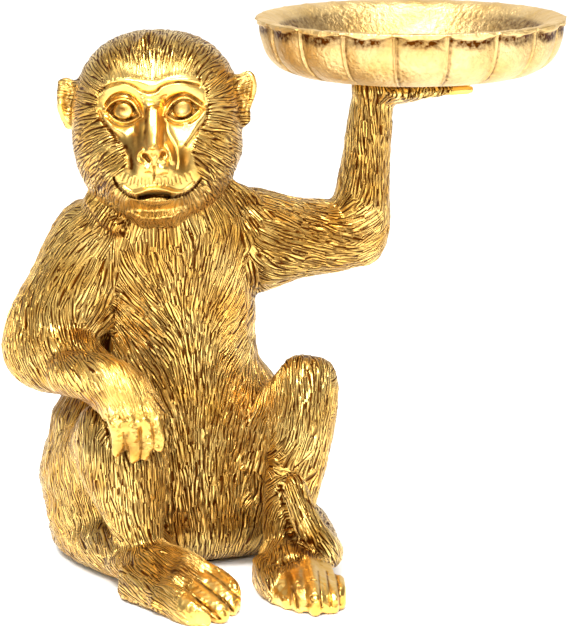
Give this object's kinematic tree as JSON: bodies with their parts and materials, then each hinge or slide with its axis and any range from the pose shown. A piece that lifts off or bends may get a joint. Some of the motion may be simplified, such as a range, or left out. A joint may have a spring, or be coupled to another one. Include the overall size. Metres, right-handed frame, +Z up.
{
  "type": "tealight holder",
  "caption": "Seated monkey figurine in antique gold, holding a scalloped tealight dish level on one raised palm.",
  "frame": {"origin": "middle of the underside of the felt under the seat, on the table", "axes": "+Z up; the face looks along -Y; +X towards the monkey's raised left arm"},
  "size_m": [0.1076, 0.0824, 0.1054],
  "materials": {
    "gold_resin": "cast resin in metallic antique gold paint, brown in the grooves of the fur",
    "steel": "drawn steel",
    "felt": "dark felt"
  },
  "bodies": {
    "root": {"trunk": "gold_resin", "head": "gold_resin", "raised_arm": "gold_resin", "resting_arm": "gold_resin", "right_leg": "gold_resin", "left_leg": "gold_resin", "tail": "gold_resin", "dish": "gold_resin", "neck_dowel": "steel", "raised_arm_dowel": "steel", "resting_arm_dowel": "steel", "right_hip_dowel": "steel", "left_hip_dowel": "steel", "tail_dowel": "steel", "dish_pin": "steel", "seat_felt": "felt", "right_foot_felt": "felt", "left_foot_felt": "felt"}
  },
  "joints": []
}
